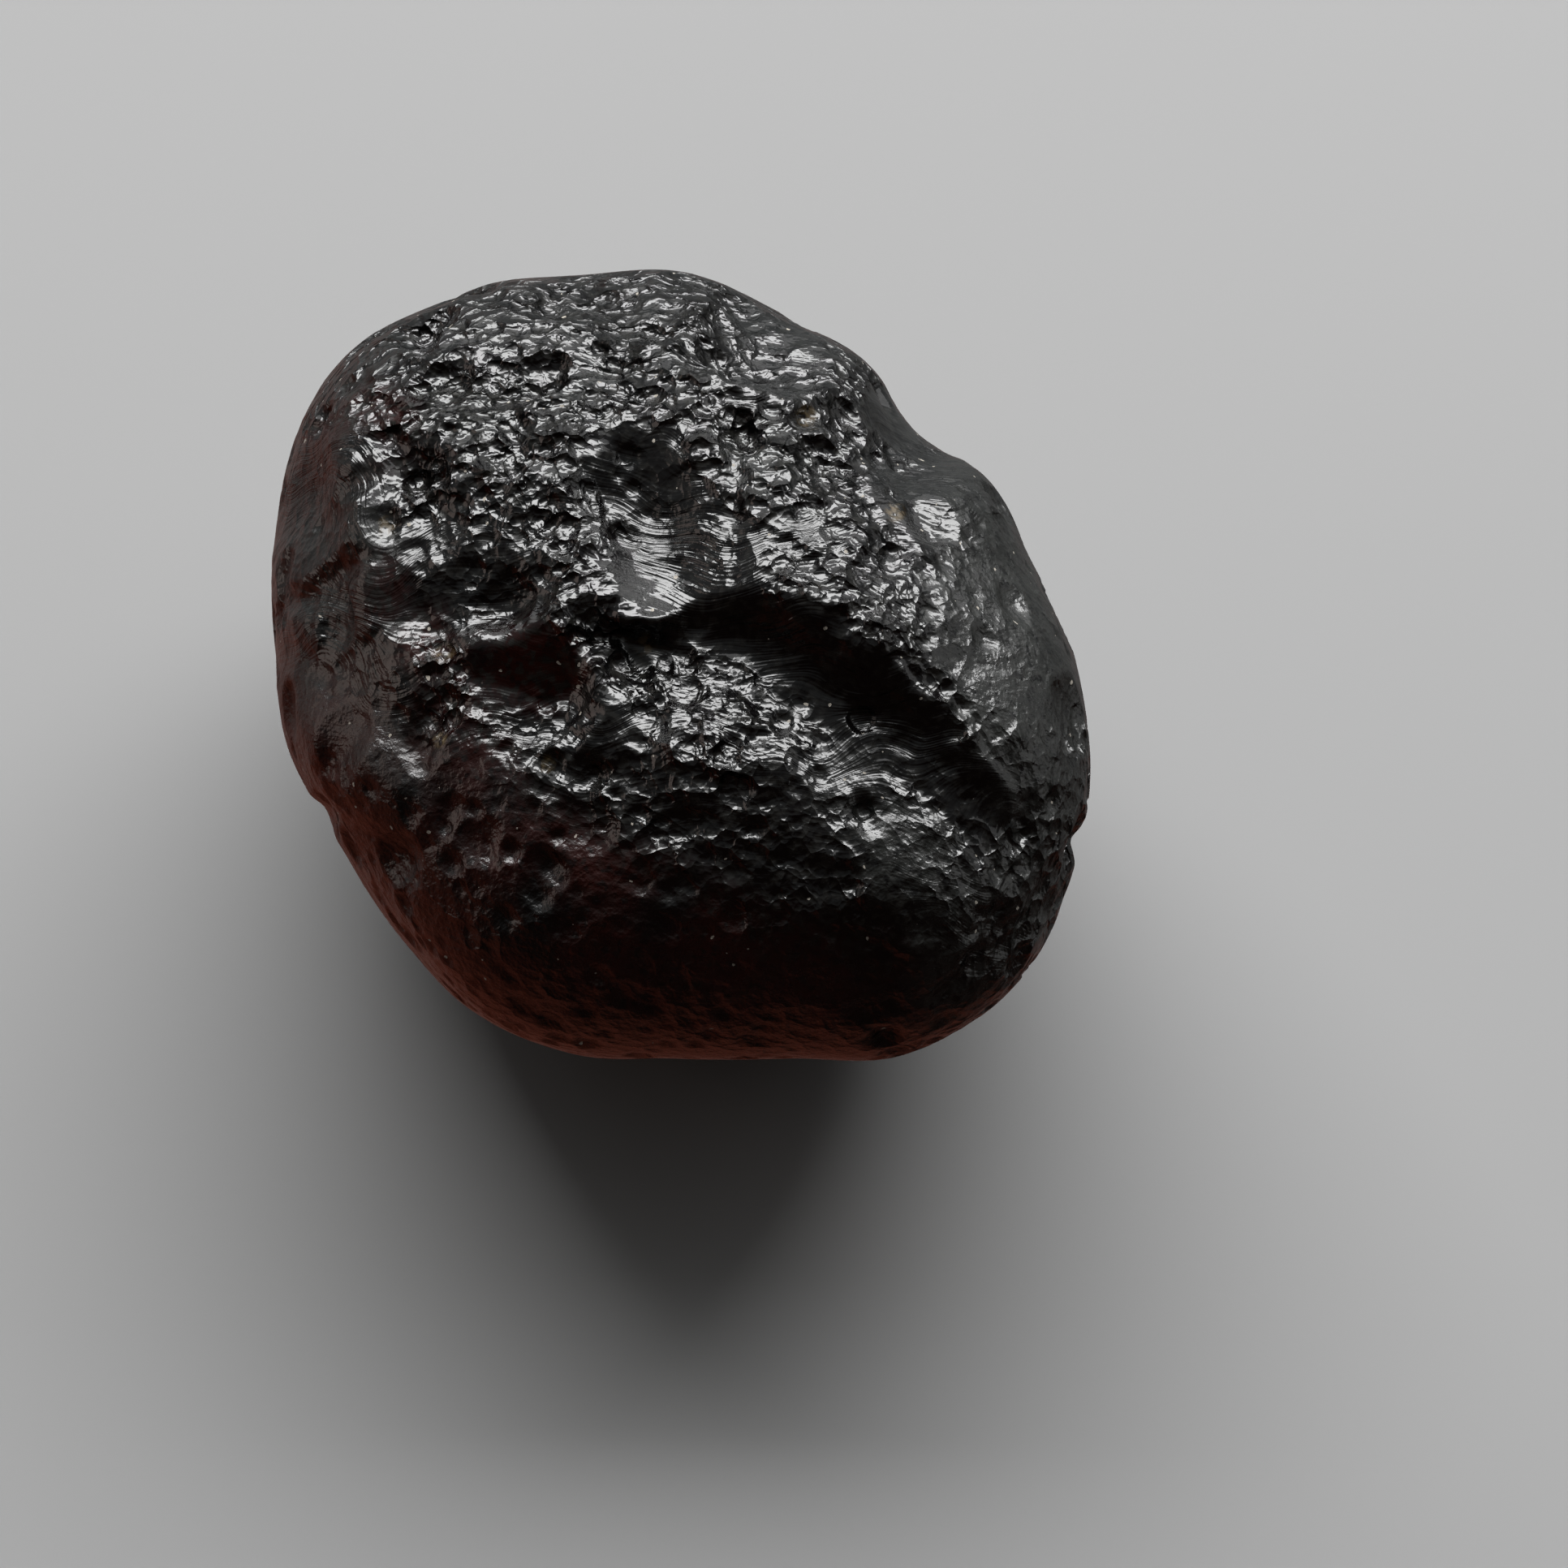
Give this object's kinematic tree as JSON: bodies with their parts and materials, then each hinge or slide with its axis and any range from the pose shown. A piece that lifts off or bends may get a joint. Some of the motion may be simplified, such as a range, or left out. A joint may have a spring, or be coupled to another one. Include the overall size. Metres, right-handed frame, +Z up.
{
  "type": "tektite",
  "caption": "Rounded lump of black natural glass with a pitted, furrowed face, lying on its broad underside.",
  "frame": {"origin": "on the surface that the lump rests on, under the middle of its bounding box", "axes": "+Z up; +X across the furrowed face, to its right; the face looks along -Y and 60 degrees upwards"},
  "size_m": [0.031, 0.033, 0.0245],
  "materials": {
    "black_glass": "glossy natural skin, nearly opaque black with a brown cast"
  },
  "bodies": {
    "root": {"tektite": "black_glass"}
  },
  "joints": []
}
